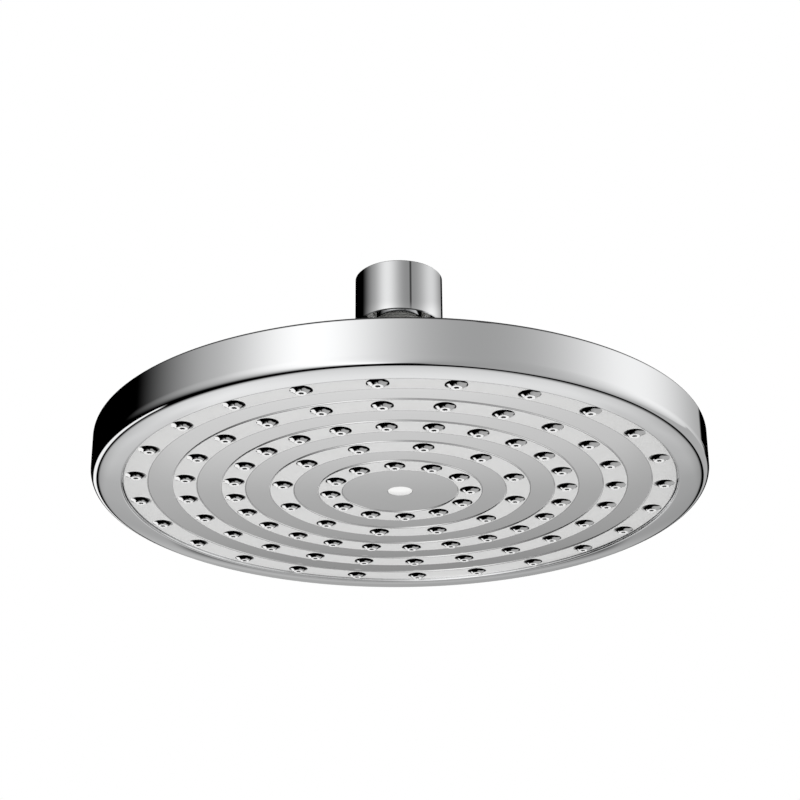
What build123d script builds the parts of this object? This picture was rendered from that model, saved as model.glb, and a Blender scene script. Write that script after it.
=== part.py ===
from build123d import *

import os
from math import cos, isclose, radians, sqrt, tan

# Round rain shower head on a swivel ball joint, with the joint straight.
# Millimetres, +Z up. The origin is at the centre of the inlet thread's mouth and the head hangs below it.

# Driving sizes of the inlet connector
collar_diameter = 29.8
collar_height = 18.4
collar_edge = 0.3
thread_minor_diameter = 18.63
thread_length = 11.0
thread_lead_in = 0.8
relief_diameter = 21.2
washer_room = 2.2
regulator_pocket_diameter = 13.0
regulator_pocket_depth = 6.0
water_bore = 10.0
neck_diameter = 16.0
neck_length = 17.7
neck_flare = 3.3
ball_diameter = 24.0
ball_flat_depth = 10.4

# Driving sizes of the ball's nut, seat ring, seal and socket
tilt_limit = 15.0
tilt_clearance = 0.4
running_clearance = 0.1
thread_clearance = 0.1
seat_ring_wall = 1.4
seat_ring_bottom = 3.4
seat_ring_top = 8.6
socket_thread_diameter = 31.0
socket_top_drop = 1.0
socket_depth = 13.0
socket_flange_diameter = 34.0
socket_flange_height = 4.0
socket_bore = 11.0
socket_well_diameter = 13.8
socket_well_drop = 12.4
stub_diameter = 20.8
stub_length = 10.0
nut_diameter = 37.0
nut_top_diameter = 30.0
nut_shoulder_rise = 3.0
nut_top_rise = 11.0
nut_foot_gap = 0.4
nut_edge = 0.8
nut_flats = 35.0
seal_diameter = 21.8
seal_top_drop = 7.0
seal_bottom_drop = 10.1
gasket_thickness = 1.0

# Driving sizes of the rim ring and the rear cover
head_diameter = 200.0
ball_to_face = 42.0
rim_height = 14.4
rim_wall = 2.4
rim_corner = 1.8
rim_top_edge = 0.5
lip_width = 9.9
lip_thickness = 2.5
lip_rise = 0.35
lip_proud = 0.85
ledge_width = 2.4
ledge_height = 1.6
cover_edge = 2.6
cover_clearance = 0.15
snap_reach = 0.5
snap_height = 1.4
cover_thickness = 2.5
dome_rise = 10.0
hub_diameter = 34.0
hub_length = 14.0
hub_fillet = 3.0
skirt_wall = 2.4
skirt_inset = 3.4
boss_diameter = 10.0
boss_length = 5.0
rib_thickness = 2.4
rib_height = 4.5

# Driving sizes of the spray plate
plate_gap = 0.3
plate_thickness = 3.0
plate_flange = 3.5
band_width = 8.2
band_rise = 0.45
ring_pitch = 15.7
centre_land = 18.0
nozzle_base_diameter = 6.8
nozzle_tip_diameter = 3.4
nozzle_height = 1.0
nozzle_bore = 1.4
nozzle_sides = 12
nozzle_bore_sides = 6
nozzle_clocking = 10.9
dense_ring_nozzles = 24
sparse_ring_nozzles = 12
dense_ring_count = 3
seal_thickness = 1.5

# Driving sizes of the centre screw and its cap
cap_diameter = 8.0
cap_thickness = 0.8
cap_proud = 0.5
cap_dome = 0.4
cap_skirt_wall = 0.6
cap_skirt_height = 0.4
screw_head_diameter = 5.6
screw_head_height = 2.0
screw_head_gap = 0.1
screw_diameter = 4.0
screw_key = 2.5
screw_key_sides = 6
screw_key_depth = 1.2
screw_grip = 4.0
screw_seal_thickness = 0.6
screw_fit = 0.05
insert_diameter = 6.0
insert_length = 4.4

# Driving sizes of what lies in the inlet
washer_thickness = 2.0
washer_bore = 12.0
screen_thickness = 0.6
screen_hole = 1.8
screen_hole_sides = 6
screen_rows = ((0.0, 1), (2.2, 6), (4.4, 12))
regulator_height = 5.2
regulator_wall = 1.2
regulator_floor = 1.5
regulator_post = 2.4
regulator_hole = 1.6
regulator_hole_count = 8
regulator_hole_circle = 8.0
regulator_ring_diameter = 6.0
regulator_ring_thickness = 1.2

# Radii
head_r = head_diameter / 2
ball_r = ball_diameter / 2
neck_r = neck_diameter / 2
hub_r = hub_diameter / 2
rim_inner_r = head_r - rim_wall
cover_r = rim_inner_r - cover_clearance
ledge_r = rim_inner_r - ledge_width
lip_r = head_r - lip_width
plate_r = lip_r - plate_gap
skirt_r = plate_r - skirt_inset
seat_inner_r = ball_r + running_clearance
seat_outer_r = seat_inner_r + seat_ring_wall
nut_cavity_r = seat_outer_r + running_clearance
socket_thread_r = socket_thread_diameter / 2
stub_r = stub_diameter / 2

# Heights, from the inlet down
collar_bottom = -collar_height
washer_floor = -thread_length - washer_room
pocket_floor = washer_floor - regulator_pocket_depth
ball_z = collar_bottom - neck_length
socket_top = ball_z - socket_top_drop
flange_bottom = ball_z - socket_depth
flange_top = flange_bottom + socket_flange_height
hub_top = flange_bottom - gasket_thickness
hub_bottom = hub_top - hub_length
boss_bottom = hub_bottom - boss_length
band_z = ball_z - ball_to_face
plate_z = band_z + band_rise
plate_back = plate_z + plate_thickness
lip_z = band_z - lip_proud
lip_top = lip_z + lip_thickness
rim_bottom = lip_z + lip_rise
rim_top = rim_bottom + rim_height
ledge_top = rim_top - cover_edge
skirt_bottom = plate_back + seal_thickness
cap_face = plate_z - cap_proud
cap_floor = cap_face + cap_dome + cap_thickness
cap_back = cap_floor + cap_skirt_height
screw_head_face = cap_back + screw_head_gap
screw_head_top = screw_head_face + screw_head_height
screw_seat = screw_head_top + screw_seal_thickness

# The dome of the cover is part of a sphere that meets the rim and rises to the dome's height
dome_r = (cover_r**2 + dome_rise**2) / (2 * dome_rise)
dome_centre = rim_top + dome_rise - dome_r

BASE = (Align.CENTER, Align.CENTER, Align.MIN)


def rod(radius, bottom, top):
    """Upright cylinder on the axis between two heights."""
    return Pos(0, 0, bottom) * Cylinder(radius, top - bottom, align=BASE)


def ring(outer, inner, bottom, top):
    """Flat ring on the axis between two heights."""
    return rod(outer, bottom, top) - rod(inner, bottom, top)


def ball(radius):
    """Sphere about the joint's centre."""
    return Pos(0, 0, ball_z) * Sphere(radius)


def turned(*outline):
    """Solid of revolution about the axis from edges in (radius, height)."""
    return revolve(make_face(Plane.XZ * (Curve() + list(outline))), Axis.Z)


def prism(sides, across_corners, bottom, top):
    """Upright prism on the axis with a regular section."""
    section = RegularPolygon(across_corners / 2, sides)
    return Pos(0, 0, bottom) * extrude(section, top - bottom)


def circles(part, radius, height):
    """Circular edges of a part with one radius at one height."""
    return part.edges().filter_by(GeomType.CIRCLE).filter_by(
        lambda e: isclose(e.radius, radius, abs_tol=1e-4)
        and isclose(e.arc_center.Z, height, abs_tol=1e-4)
    )


def around(count, radius, start=0.0):
    """Places at equal spacing on a circle."""
    return PolarLocations(radius, count, start)


def dome_height(radius, depth=0.0):
    """Height of the dome's surface, or of the surface that lies a depth below it, at a radius."""
    return dome_centre + sqrt((dome_r - depth) ** 2 - radius**2)


def tilt_reach(rise):
    """Radius that the neck sweeps at a rise above the ball's centre when the joint is fully tilted."""
    return neck_r / cos(radians(tilt_limit)) + rise * tan(radians(tilt_limit))


def snap_line(radius):
    """Points of the snap bead, or of its groove, on a wall of the given radius, from the top down."""
    middle = ledge_top + cover_edge / 2
    return [
        (radius, middle + snap_height / 2),
        (radius - snap_reach, middle),
        (radius, middle - snap_height / 2),
    ]


def nozzle_rings():
    """Radius, number of nozzles and turn in degrees of each satin ring, from the outside in."""
    rings = []
    radius = plate_r - band_width / 2
    while radius >= centre_land:
        sparse = len(rings) - dense_ring_count
        if sparse < 0:
            rings.append((radius, dense_ring_nozzles, nozzle_clocking))
        else:
            stagger = sparse * 180 / sparse_ring_nozzles
            rings.append((radius, sparse_ring_nozzles, nozzle_clocking + stagger))
        radius -= ring_pitch
    return rings


def make_inlet_connector():
    """Collar, neck and ball, turned from one bar and bored through."""
    body = rod(collar_diameter / 2, collar_bottom, 0) + rod(neck_r, ball_z, collar_bottom)
    body += ball(ball_r) - rod(ball_r, ball_z - ball_diameter, ball_z - ball_flat_depth)
    body = fillet(circles(body, neck_r, collar_bottom), neck_flare)
    for height in (0, collar_bottom):
        body = chamfer(circles(body, collar_diameter / 2, height), collar_edge)
    body -= rod(thread_minor_diameter / 2, -thread_length, 0)
    body -= rod(relief_diameter / 2, washer_floor, -thread_length)
    body -= rod(regulator_pocket_diameter / 2, pocket_floor, washer_floor)
    body -= rod(water_bore / 2, ball_z - ball_r, pocket_floor)
    return chamfer(circles(body, thread_minor_diameter / 2, 0), thread_lead_in)


def make_ball_seat_ring():
    """Zone of a spherical shell that lies on the upper half of the ball."""
    zone = rod(seat_outer_r, ball_z + seat_ring_bottom, ball_z + seat_ring_top)
    return (ball(seat_outer_r) - ball(seat_inner_r)) & zone


def make_ball_nut():
    """Bell-shaped nut with a spherical seat and a mouth that lets the neck tilt."""
    foot = flange_top + nut_foot_gap
    shoulder = ball_z + nut_shoulder_rise
    top = ball_z + nut_top_rise
    bell = Cone(nut_diameter / 2, nut_top_diameter / 2, top - shoulder, align=BASE)
    body = rod(nut_diameter / 2, foot, shoulder) + Pos(0, 0, shoulder) * bell
    body = fillet(circles(body, nut_top_diameter / 2, top), nut_edge)
    body = chamfer(circles(body, nut_diameter / 2, foot), nut_edge)
    flats = Box(nut_flats, nut_diameter, shoulder - foot, align=BASE)
    body &= Pos(0, 0, foot) * flats + rod(nut_diameter / 2, shoulder, top)
    mouth = Cone(
        tilt_reach(0) + tilt_clearance,
        tilt_reach(nut_top_rise) + tilt_clearance,
        nut_top_rise,
        align=BASE,
    )
    body -= rod(socket_thread_r + thread_clearance, foot, socket_top)
    return body - ball(nut_cavity_r) - Pos(0, 0, ball_z) * mouth


def make_ball_socket():
    """Socket under the ball, with the nut's thread above its flange and a stub below it."""
    body = rod(socket_thread_r, flange_top, socket_top)
    body += rod(socket_flange_diameter / 2, flange_bottom, flange_top)
    body += rod(stub_r, flange_bottom - stub_length, flange_bottom)
    groove_bottom = ball_z - seal_bottom_drop - running_clearance
    groove_top = ball_z - seal_top_drop + running_clearance
    body -= ball(seat_inner_r) - rod(ball_r, ball_z - ball_diameter, groove_bottom)
    body -= rod(seal_diameter / 2 + running_clearance, groove_bottom, groove_top)
    body -= rod(socket_well_diameter / 2, ball_z - socket_well_drop, groove_bottom)
    return body - rod(socket_bore / 2, flange_bottom - stub_length, groove_bottom)


def make_ball_seal():
    """Rubber ring below the ball, hollowed to the ball's own curve."""
    blank = rod(seal_diameter / 2, ball_z - seal_bottom_drop, ball_z - seal_top_drop)
    return blank - ball(seat_inner_r)


def make_socket_gasket():
    """Flat gasket between the socket's flange and the hub."""
    return ring(socket_flange_diameter / 2, stub_r + thread_clearance, hub_top, flange_bottom)


def make_rear_cover():
    """Domed back with its hub, the skirt round the water chamber and the spider for the centre screw."""
    edge_r = ledge_r - cover_clearance
    shell = turned(
        ThreePointArc((cover_r, rim_top), (hub_r, dome_height(hub_r)), (0, dome_height(0))),
        Line((0, dome_height(0)), (0, dome_height(0, cover_thickness))),
        ThreePointArc(
            (0, dome_height(0, cover_thickness)),
            (hub_r, dome_height(hub_r, cover_thickness)),
            (edge_r, dome_height(edge_r, cover_thickness)),
        ),
        Polyline(
            (edge_r, dome_height(edge_r, cover_thickness)),
            (edge_r, ledge_top),
            (cover_r, ledge_top),
            *reversed(snap_line(cover_r)),
            (cover_r, rim_top),
        ),
    )
    skirt_root = dome_height(skirt_r, cover_thickness / 2)
    body = shell + rod(hub_r, hub_bottom, hub_top)
    junction = body.edges().filter_by(
        lambda e: isclose(e.bounding_box().size.X, hub_diameter, abs_tol=1e-3)
        and rim_top < e.center().Z < hub_top
    )
    body = fillet(junction.sort_by(Axis.Z)[-1], hub_fillet)
    body += ring(skirt_r, skirt_r - skirt_wall, skirt_bottom, skirt_root)
    rib = Box(2 * hub_r - rib_thickness, rib_thickness, rib_height, align=BASE)
    for turn in (0, 90):
        body += Pos(0, 0, hub_bottom - rib_height) * Rot(0, 0, turn) * rib
    body += rod(boss_diameter / 2, boss_bottom, hub_bottom)
    body -= rod(stub_r + thread_clearance, hub_bottom, hub_top)
    return body - rod(insert_diameter / 2 + screw_fit, boss_bottom, boss_bottom + insert_length)


def make_rim_ring():
    """Rim wall and the lip round the face in one piece, with a ledge and a snap bead for the cover."""
    body = turned(
        Polyline(
            (lip_r, lip_z),
            (head_r, rim_bottom),
            (head_r, rim_top),
            (rim_inner_r, rim_top),
            *snap_line(rim_inner_r),
            (rim_inner_r, ledge_top),
            (ledge_r, ledge_top),
            (ledge_r, ledge_top - ledge_height),
            (rim_inner_r, ledge_top - ledge_height - ledge_width),
            (rim_inner_r, lip_top),
            (lip_r, lip_top),
            close=True,
        )
    )
    body = fillet(circles(body, head_r, rim_bottom), rim_corner)
    return fillet(circles(body, head_r, rim_top), rim_top_edge)


def make_spray_plate():
    """Face plate with raised satin rings, nozzle cones on them and a pillar for the centre screw."""
    body = rod(plate_r, plate_z, plate_back)
    body += rod(lip_r + plate_flange, lip_top, plate_back)
    body += rod(boss_diameter / 2, plate_back, boss_bottom)
    bands, cones, bores = [], [], []
    cone = loft(
        [
            RegularPolygon(nozzle_base_diameter / 2, nozzle_sides),
            Pos(0, 0, -nozzle_height) * RegularPolygon(nozzle_tip_diameter / 2, nozzle_sides),
        ]
    )
    bore = prism(nozzle_bore_sides, nozzle_bore, band_z - nozzle_height, plate_back)
    for radius, count, turn in nozzle_rings():
        bands.append(ring(radius + band_width / 2, radius - band_width / 2, band_z, plate_z))
        for place in around(count, radius, turn):
            cones.append(Pos(0, 0, band_z) * place * cone)
            bores.append(place * bore)
    body = body + bands + cones
    body -= rod(cap_diameter / 2 + running_clearance, plate_z, screw_seat)
    body -= rod(screw_diameter / 2 + running_clearance, screw_seat, boss_bottom)
    return body - bores


def make_rim_seal():
    """Flat ring seal between the plate's back and the cover's skirt."""
    return ring(skirt_r, skirt_r - skirt_wall, plate_back, skirt_bottom)


def make_centre_screw():
    """Screw with a key socket, from its head behind the cap to its end in the insert."""
    head = rod(screw_head_diameter / 2, screw_head_face, screw_head_top)
    shank = rod(screw_diameter / 2, screw_head_top, boss_bottom + screw_grip)
    key_floor = screw_head_face + screw_key_depth
    key = prism(screw_key_sides, screw_key, screw_head_face, key_floor)
    return head + shank - key


def make_screw_seal():
    """Small sealing washer under the screw's head."""
    bore_r = screw_diameter / 2 + running_clearance
    return ring(screw_head_diameter / 2, bore_r, screw_head_top, screw_seat)


def make_screw_insert():
    """Threaded insert in the spider's boss."""
    bore_r = screw_diameter / 2 + screw_fit
    return ring(insert_diameter / 2, bore_r, boss_bottom, boss_bottom + insert_length)


def make_centre_cap():
    """Domed cap over the screw, with a short skirt that grips its pocket."""
    cap_r = cap_diameter / 2
    face_r = (cap_r**2 + cap_dome**2) / (2 * cap_dome)
    disc = rod(cap_r, cap_face, cap_floor) & Pos(0, 0, cap_face + face_r) * Sphere(face_r)
    return disc + ring(cap_r, cap_r - cap_skirt_wall, cap_floor, cap_back)


def make_inlet_washer():
    """Rubber washer on the floor below the inlet thread."""
    outer = thread_minor_diameter / 2 - running_clearance
    return ring(outer, washer_bore / 2, washer_floor, washer_floor + washer_thickness)


def make_flow_regulator():
    """Cup with a ring of flow holes round a post."""
    outer = regulator_pocket_diameter / 2 - running_clearance
    floor = pocket_floor + regulator_floor
    top = pocket_floor + regulator_height
    body = rod(outer, pocket_floor, top) - rod(outer - regulator_wall, floor, top)
    body += rod(regulator_post / 2, floor, top)
    hole = rod(regulator_hole / 2, pocket_floor, floor)
    return body - [place * hole for place in around(regulator_hole_count, regulator_hole_circle / 2)]


def make_regulator_ring():
    """Rubber ring round the regulator's post."""
    floor = pocket_floor + regulator_floor
    bore_r = regulator_post / 2 + running_clearance
    return ring(regulator_ring_diameter / 2, bore_r, floor, floor + regulator_ring_thickness)


def make_filter_screen():
    """Perforated strainer disc on top of the regulator."""
    bottom = pocket_floor + regulator_height
    disc = rod(regulator_pocket_diameter / 2 - running_clearance, bottom, bottom + screen_thickness)
    hole = prism(screen_hole_sides, screen_hole, bottom, bottom + screen_thickness)
    holes = []
    for radius, count in screen_rows:
        holes += [place * hole for place in around(count, radius)]
    return disc - holes


pieces = {
    "inlet_connector": make_inlet_connector,
    "ball_seat_ring": make_ball_seat_ring,
    "ball_nut": make_ball_nut,
    "ball_socket": make_ball_socket,
    "ball_seal": make_ball_seal,
    "socket_gasket": make_socket_gasket,
    "rear_cover": make_rear_cover,
    "rim_ring": make_rim_ring,
    "spray_plate": make_spray_plate,
    "rim_seal": make_rim_seal,
    "centre_screw": make_centre_screw,
    "screw_seal": make_screw_seal,
    "screw_insert": make_screw_insert,
    "centre_cap": make_centre_cap,
    "inlet_washer": make_inlet_washer,
    "flow_regulator": make_flow_regulator,
    "regulator_ring": make_regulator_ring,
    "filter_screen": make_filter_screen,
}

os.makedirs("parts", exist_ok=True)
for name, make in pieces.items():
    export_step(make(), f"parts/{name}.step")
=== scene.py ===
"""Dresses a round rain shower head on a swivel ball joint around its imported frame.

Sizes are in metres, in the part's own frame: the origin is at the mouth of the inlet thread, +Z points up
and the spray face looks down. Outlines are lists of (radius, height) about the Z axis.
"""

import logging
import math
from collections.abc import Sequence
from dataclasses import dataclass
from enum import Enum, IntEnum

import bmesh
import bpy
from mathutils import Matrix, Vector

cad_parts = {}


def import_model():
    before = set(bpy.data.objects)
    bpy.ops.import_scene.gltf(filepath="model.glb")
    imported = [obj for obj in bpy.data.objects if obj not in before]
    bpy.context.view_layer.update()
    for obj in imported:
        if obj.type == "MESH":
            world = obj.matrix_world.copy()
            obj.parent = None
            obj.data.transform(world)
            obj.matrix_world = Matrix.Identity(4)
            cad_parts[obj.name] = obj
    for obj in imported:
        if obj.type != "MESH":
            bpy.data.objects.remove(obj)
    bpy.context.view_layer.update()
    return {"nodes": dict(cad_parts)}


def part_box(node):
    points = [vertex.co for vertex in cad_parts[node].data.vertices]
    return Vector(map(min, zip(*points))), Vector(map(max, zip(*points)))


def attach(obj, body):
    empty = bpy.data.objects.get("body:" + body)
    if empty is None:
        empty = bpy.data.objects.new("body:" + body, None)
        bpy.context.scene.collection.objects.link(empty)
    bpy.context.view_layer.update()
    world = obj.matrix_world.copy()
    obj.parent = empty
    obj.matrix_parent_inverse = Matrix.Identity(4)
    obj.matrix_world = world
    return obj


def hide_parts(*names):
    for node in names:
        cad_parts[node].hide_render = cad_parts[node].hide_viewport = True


LOG = logging.getLogger("shower_head")

MM = 0.001
# Points that are closer than this are one point
WELD = 0.002 * MM
SHARP_ANGLE = math.radians(30.0)
# Steps round the axis of a large turned piece
TURN_STEPS = 480
# Width of the narrow strip that keeps the shading of a rounded edge off the face beside it
SUPPORT = 0.15 * MM
ORIGIN = Vector()
WHITE = (1.0, 1.0, 1.0, 1.0)
# Name of the attribute that holds the zone of each face
ZONE_LAYER = "zone"

Point = tuple[float, float]
Vertices = Sequence[bmesh.types.BMVert]
Materials = Sequence[bpy.types.Material]
Socket = bpy.types.NodeSocket
Value = Socket | float


class Zone(IntEnum):
    """Kinds of surface, in the order of the spray plate's materials. A plain piece has the first alone."""

    POLISHED = 0
    SATIN = 1
    TIP = 2
    BORE = 3


class Slot(Enum):
    """Material slots of the record, which the pieces take their finish from."""

    CHROME = "chrome_plating"
    FACE = "plated_face"
    CAP = "white_cap"
    BRASS = "brass"
    STEEL = "steel"
    SEAT = "seat_plastic"
    LIMITER = "limiter_plastic"
    RUBBER = "black_rubber"


class Easing(Enum):
    """Ways to go from one row of a table to the next."""

    STRAIGHT = "LINEAR"
    SMOOTH = "EASE"


@dataclass(frozen=True)
class Run:
    """A stretch of an outline, which ends where the next one starts. An open run gets no faces."""

    points: tuple[Point, ...]
    open: bool = False


def arc(centre: Point, radius: float, start: float, end: float, steps: int) -> list[Point]:
    """Samples a circular arc in the plane of an outline.

    Args:
        centre: Centre of the arc.
        radius: Radius of the arc.
        start: First angle in degrees, from the outward direction towards +Z.
        end: Last angle in degrees.
        steps: Number of straight steps.

    Returns:
        The points from the first angle to the last, both included.
    """
    turns = [math.radians(start + (end - start) * k / steps) for k in range(steps + 1)]
    return [(centre[0] + radius * math.cos(t), centre[1] + radius * math.sin(t)) for t in turns]


def circle(
    bm: bmesh.types.BMesh, point: Point, sides: int, middle: Vector = ORIGIN
) -> list[bmesh.types.BMVert]:
    """Makes the vertices of a level circle, or one vertex where the radius is zero.

    Args:
        bm: Mesh under construction.
        point: Radius and height of the circle.
        sides: Number of vertices.
        middle: Level position of the circle's axis.

    Returns:
        One entry for each side, all the same vertex on the axis.
    """
    radius, height = point
    if radius < WELD:
        return [bm.verts.new(middle + Vector((0, 0, height)))] * sides
    turns = [math.tau * k / sides for k in range(sides)]
    spokes = [Vector((radius * math.cos(t), radius * math.sin(t), height)) for t in turns]
    return [bm.verts.new(middle + spoke) for spoke in spokes]


def bridge(bm: bmesh.types.BMesh, lower: Vertices, upper: Vertices, zone: Zone) -> None:
    """Joins two circles with a band of faces.

    Args:
        bm: Mesh under construction.
        lower: Vertices of one circle.
        upper: Vertices of the other circle, as many.
        zone: Kind of surface, which is the material index of the faces.
    """
    for k in range(len(lower)):
        ahead = (k + 1) % len(lower)
        corners = dict.fromkeys((lower[k], lower[ahead], upper[ahead], upper[k]))
        if len(corners) > 2:
            face = bm.faces.new(corners)
            face.material_index = zone


def finish_mesh(bm: bmesh.types.BMesh, name: str, materials: Materials) -> bpy.types.Mesh:
    """Welds a mesh, turns its faces outwards and shades it smooth between sharp edges and finishes.

    Args:
        bm: Mesh under construction, which is freed.
        name: Name of the new mesh.
        materials: Materials in the order of the faces' indices.

    Returns:
        The finished mesh.
    """
    bmesh.ops.remove_doubles(bm, verts=bm.verts, dist=WELD)
    bmesh.ops.recalc_face_normals(bm, faces=bm.faces)
    for face in bm.faces:
        face.smooth = True
    for edge in bm.edges:
        zones = {face.material_index for face in edge.link_faces}
        inside_zone = len(edge.link_faces) == 2 and len(zones) == 1
        edge.smooth = inside_zone and edge.calc_face_angle() < SHARP_ANGLE
    mesh = bpy.data.meshes.new(name)
    bm.to_mesh(mesh)
    bm.free()
    for material in materials:
        mesh.materials.append(material)
    return mesh


def turn(bm: bmesh.types.BMesh, runs: Sequence[Run], steps: int = TURN_STEPS) -> None:
    """Turns a closed outline about the Z axis.

    Args:
        bm: Mesh under construction.
        runs: Runs of the outline. The faces of an open run are left out.
        steps: Number of steps round the axis.
    """
    spans = [(point, run) for run in runs for point in run.points[:-1]]
    circles = [circle(bm, point, steps) for point, _ in spans]
    for k, (_, run) in enumerate(spans):
        if not run.open:
            bridge(bm, circles[k], circles[(k + 1) % len(spans)], Zone.POLISHED)


def join(bm: bmesh.types.BMesh, mesh: bpy.types.Mesh, order: Materials) -> None:
    """Adds a finished mesh to one under construction.

    Args:
        bm: Mesh under construction.
        mesh: Mesh to add, whose materials are all in the order.
        order: Materials of the mesh under construction.
    """
    first = len(bm.faces)
    bm.from_mesh(mesh)
    bm.faces.ensure_lookup_table()
    for face in bm.faces[first:]:
        face.material_index = list(order).index(mesh.materials[face.material_index])


def show(mesh: bpy.types.Mesh) -> bpy.types.Object:
    """Places a mesh in the scene at the origin, under its own name.

    Args:
        mesh: Mesh to show.

    Returns:
        The new object.
    """
    piece = bpy.data.objects.new(mesh.name, mesh)
    bpy.context.scene.collection.objects.link(piece)
    return piece


class Tree:
    """Short way to write a node tree."""

    def __init__(self, tree: bpy.types.NodeTree) -> None:
        """Keeps the tree and empties it."""
        self.tree = tree
        tree.nodes.clear()

    def socket(self, name: str, kind: str, out: bool = False) -> bpy.types.NodeTreeInterfaceSocket:
        """Adds a named input or output to a group.

        Args:
            name: Name of the socket.
            kind: Type of the socket without its NodeSocket prefix.
            out: True for an output.

        Returns:
            The new socket.
        """
        way = "OUTPUT" if out else "INPUT"
        return self.tree.interface.new_socket(name, in_out=way, socket_type=f"NodeSocket{kind}")

    def add(
        self, kind: str, inputs: dict[str | int, object] | None = None, **settings: object
    ) -> bpy.types.Node:
        """Adds a node, then sets its options and inputs.

        Args:
            kind: Blender's identifier of the node.
            inputs: Value, or output socket to link, for each input by name or number.
            settings: Options of the node.

        Returns:
            The new node.
        """
        node = self.tree.nodes.new(kind)
        for option, value in settings.items():
            setattr(node, option, value)
        for key, value in (inputs or {}).items():
            if isinstance(value, Socket):
                self.tree.links.new(value, node.inputs[key])
            else:
                node.inputs[key].default_value = value
        return node

    def maths(self, operation: str, *values: Value) -> Socket:
        """Adds a Math node of a shader or geometry tree and returns its result."""
        return self.add("ShaderNodeMath", dict(enumerate(values)), operation=operation).outputs[0]

    def span(
        self,
        value: Socket,
        ends: tuple[Value, Value],
        results: tuple[Value, Value] = (0.0, 1.0),
        smooth: bool = False,
    ) -> Socket:
        """Maps a value from one span to another, and holds it at the ends.

        Args:
            value: Value to map.
            ends: Where the mapping starts and where it ends.
            results: Result at the start and at the end.
            smooth: True to leave and reach the ends gently.

        Returns:
            The mapped value.
        """
        limits = {"Value": value, 1: ends[0], 2: ends[1], 3: results[0], 4: results[1]}
        kind = "SMOOTHSTEP" if smooth else "LINEAR"
        return self.add("ShaderNodeMapRange", limits, interpolation_type=kind).outputs[0]


class SurfaceEffects:
    """Shader groups that several finishes share."""

    # Noise below the first value is clean, and above the second it is hazy
    PATCH_EDGES = (0.35, 0.75)

    def __init__(self) -> None:
        """Builds each group once."""
        self.haze = self.build_haze()
        self.grain = self.build_grain()
        self.lathe_marks = self.build_lathe_marks()

    @staticmethod
    def build_haze() -> bpy.types.ShaderNodeTree:
        """Makes the group for faint patches of handling and dried water.

        Returns:
            Group with a Roughness that drifts between two values.
        """
        t = Tree(bpy.data.node_groups.new("Handling haze", "ShaderNodeTree"))
        t.socket("Patch size", "Float")
        t.socket("Clean", "Float")
        t.socket("Hazy", "Float")
        t.socket("Roughness", "Float", out=True)
        given = t.add("NodeGroupInput").outputs
        place = t.add("ShaderNodeTexCoord").outputs["Object"]
        scale = t.maths("DIVIDE", 1.0, given["Patch size"])
        noise = t.add(
            "ShaderNodeTexNoise", {"Vector": place, "Scale": scale, "Detail": 5.0, "Roughness": 0.6}
        )
        limits = (given["Clean"], given["Hazy"])
        roughness = t.span(noise.outputs["Fac"], SurfaceEffects.PATCH_EDGES, limits, smooth=True)
        t.add("NodeGroupOutput", {"Roughness": roughness})
        return t.tree

    @staticmethod
    def build_grain() -> bpy.types.ShaderNodeTree:
        """Makes the group for a fine even grain, as of blasted metal or moulded plastic.

        Returns:
            Group with a Height from zero to one.
        """
        t = Tree(bpy.data.node_groups.new("Fine grain", "ShaderNodeTree"))
        t.socket("Grain size", "Float")
        t.socket("Height", "Float", out=True)
        given = t.add("NodeGroupInput").outputs
        place = t.add("ShaderNodeTexCoord").outputs["Object"]
        scale = t.maths("DIVIDE", 1.0, given["Grain size"])
        noise = t.add(
            "ShaderNodeTexNoise", {"Vector": place, "Scale": scale, "Detail": 3.0, "Roughness": 0.55}
        )
        t.add("NodeGroupOutput", {"Height": noise.outputs["Fac"]})
        return t.tree

    @staticmethod
    def build_lathe_marks() -> bpy.types.ShaderNodeTree:
        """Makes the group for the fine circular marks that a turning tool leaves about the Z axis.

        Returns:
            Group with a Height from zero to one.
        """
        t = Tree(bpy.data.node_groups.new("Lathe marks", "ShaderNodeTree"))
        t.socket("Pitch", "Float")
        t.socket("Height", "Float", out=True)
        given = t.add("NodeGroupInput").outputs
        place = t.add("ShaderNodeTexCoord").outputs["Object"]
        split = t.add("ShaderNodeSeparateXYZ", {0: place}).outputs
        squares = t.maths("ADD", t.maths("POWER", split["X"], 2.0), t.maths("POWER", split["Y"], 2.0))
        along = t.maths("ADD", t.maths("SQRT", squares), split["Z"])
        steps = t.maths("DIVIDE", along, given["Pitch"])
        noise = t.add(
            "ShaderNodeTexNoise", {"W": steps, "Scale": 1.0, "Detail": 2.0}, noise_dimensions="1D"
        )
        t.add("NodeGroupOutput", {"Height": noise.outputs["Fac"]})
        return t.tree


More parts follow.
